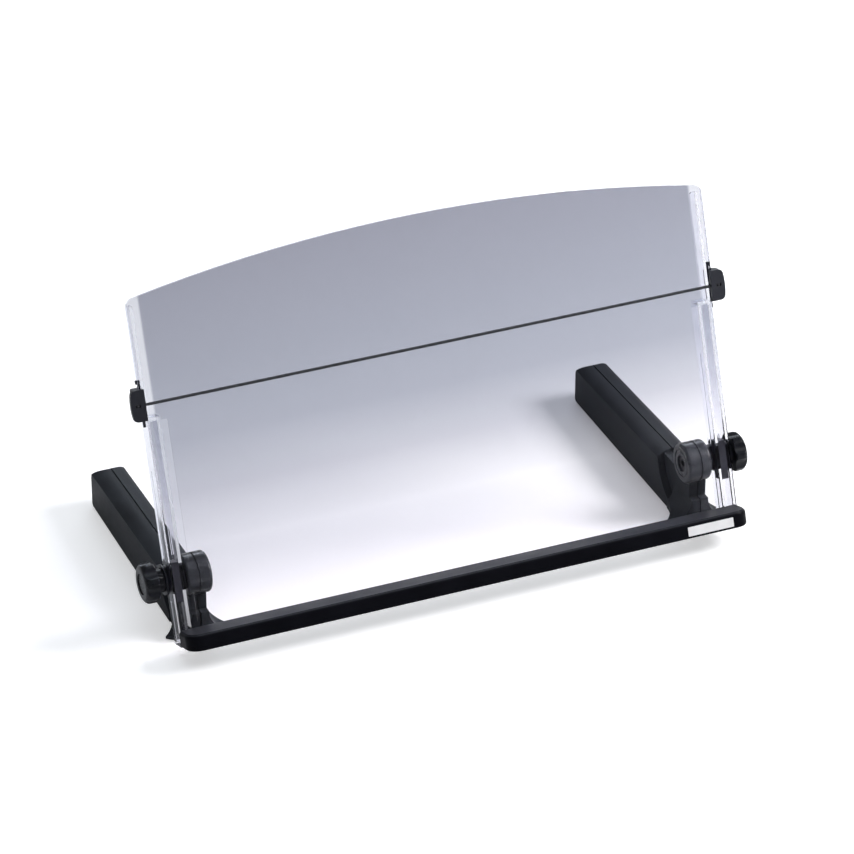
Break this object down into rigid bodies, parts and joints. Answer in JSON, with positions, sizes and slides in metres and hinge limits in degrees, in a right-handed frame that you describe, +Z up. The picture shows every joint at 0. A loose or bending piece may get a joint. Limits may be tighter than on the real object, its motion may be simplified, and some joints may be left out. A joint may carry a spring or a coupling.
{
  "type": "copy holder",
  "caption": "Desktop copy holder: a clear tilted plate with a ledge and a sliding cord line guide, on two feet with knob-clamped hinges that set its lean and height.",
  "frame": {"origin": "On the desk, under the middle of the box around the whole holder.", "axes": "X runs across the plate to the right of someone who faces it, Y runs from front to back and Z runs up from the desk."},
  "size_m": [0.488, 0.2466, 0.2752],
  "materials": {
    "clear_plate": "clear polished plastic",
    "ledge_black": "satin moulded black",
    "screw_steel": "plain zinc plated",
    "cord_dark": "smooth dark elastic cord",
    "clip_black": "satin moulded black",
    "shoe_black": "plain moulded black",
    "block_black": "plain moulded black",
    "washer_fibre": "brown friction fibre",
    "bolt_steel": "blackened",
    "washer_black": "plain moulded black",
    "knob_black": "satin moulded black",
    "nut_brass": "plain turned",
    "foot_black": "satin moulded black, fine grain",
    "pad_rubber": "soft grey black"
  },
  "bodies": {
    "left_foot": {"left_foot_inner_shell": "foot_black", "left_foot_outer_shell": "foot_black", "left_foot_pads": "pad_rubber", "left_friction_washer": "washer_fibre", "left_hinge_bolt": "bolt_steel"},
    "left_carrier": {"left_slider_block": "block_black", "left_knob_washer": "washer_black"},
    "plate": {"document_plate": "clear_plate", "ledge": "ledge_black", "ledge_screws": "screw_steel"},
    "line_guide": {"left_guide_clip": "clip_black", "right_guide_clip": "clip_black", "left_guide_shoe": "shoe_black", "right_guide_shoe": "shoe_black", "guide_cord": "cord_dark"},
    "right_carrier": {"right_slider_block": "block_black", "right_knob_washer": "washer_black"},
    "right_foot": {"right_foot_inner_shell": "foot_black", "right_foot_outer_shell": "foot_black", "right_foot_pads": "pad_rubber", "right_friction_washer": "washer_fibre", "right_hinge_bolt": "bolt_steel"},
    "left_knob": {"left_knob": "knob_black", "left_knob_nut": "nut_brass"},
    "right_knob": {"right_knob": "knob_black", "right_knob_nut": "nut_brass"}
  },
  "joints": [
    {"name": "tilt", "type": "hinge", "parent": "left_foot", "child": "left_carrier", "pos_m": [-0.2127, -0.0667, 0.0497], "axis": [-1, 0, 0], "range_deg": [-8, 45]},
    {"name": "height", "type": "slide", "parent": "left_carrier", "child": "plate", "axis": [0, 0.3502, 0.9367], "range_m": [-0.002, 0.03]},
    {"name": "guide_slide", "type": "slide", "parent": "plate", "child": "line_guide", "axis": [0, 0.3502, 0.9367], "range_m": [0, 0.05]},
    {"name": "right_height", "type": "slide", "parent": "plate", "child": "right_carrier", "axis": [0, 0.3502, 0.9367], "range_m": [-0.03, 0.002]},
    {"name": "right_tilt", "type": "hinge", "parent": "right_carrier", "child": "right_foot", "pos_m": [0.2127, -0.0667, 0.0497], "axis": [-1, 0, 0], "range_deg": [-45, 8]},
    {"name": "left_knob_turn", "type": "hinge", "parent": "left_foot", "child": "left_knob", "pos_m": [-0.2277, -0.0667, 0.0497], "axis": [-1, 0, 0], "continuous": true},
    {"name": "right_knob_turn", "type": "hinge", "parent": "right_foot", "child": "right_knob", "pos_m": [0.2277, -0.0667, 0.0497], "axis": [1, 0, 0], "continuous": true}
  ],
  "couplings": [
    {"joint": "right_height", "follows": "height", "ratio": -1},
    {"joint": "right_tilt", "follows": "tilt", "ratio": -1}
  ]
}
